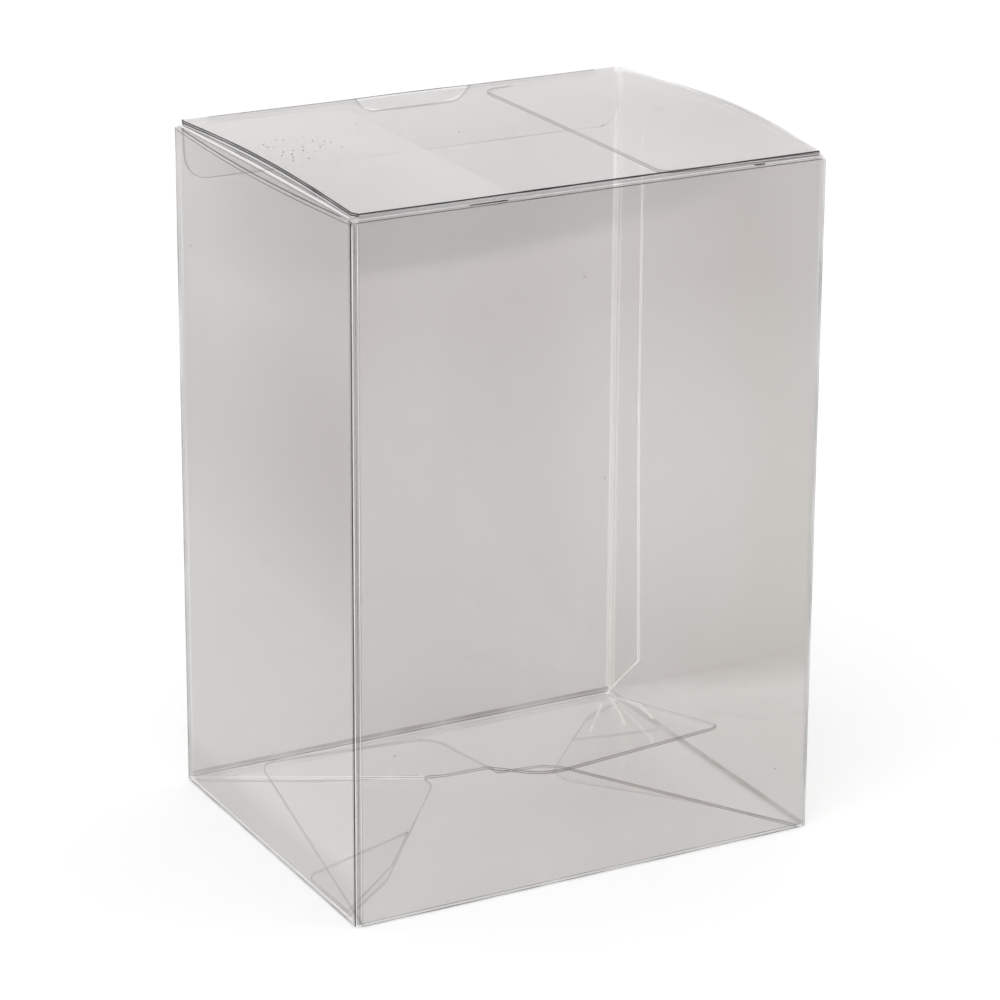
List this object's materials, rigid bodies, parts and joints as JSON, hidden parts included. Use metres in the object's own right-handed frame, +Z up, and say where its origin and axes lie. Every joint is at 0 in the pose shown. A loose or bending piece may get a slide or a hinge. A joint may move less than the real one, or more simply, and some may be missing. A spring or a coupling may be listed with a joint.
{
  "type": "figure box protector",
  "caption": "Clear film folding box with a hinged tuck lid over dust flaps, a thumb notch and a folded self-locking bottom, made to cover a boxed figure.",
  "frame": {"origin": "centre of the bounding box in plan, on the surface that the bottom creases stand on", "axes": "+Z up; +X along the wide front, to the right for someone facing it; -Y out of the front wall, whose top crease the lid turns on"},
  "size_m": [0.1216, 0.0912, 0.1635],
  "materials": {
    "box_film": "clear glossy film",
    "lid_film": "clear glossy film"
  },
  "bodies": {
    "box_body": {"box": "box_film"},
    "lid_body": {"lid": "lid_film"}
  },
  "joints": [
    {"name": "lid_hinge", "type": "hinge", "parent": "box_body", "child": "lid_body", "pos_m": [0, -0.04525, 0.1614], "axis": [1, 0, 0], "range_deg": [0, 150]}
  ]
}
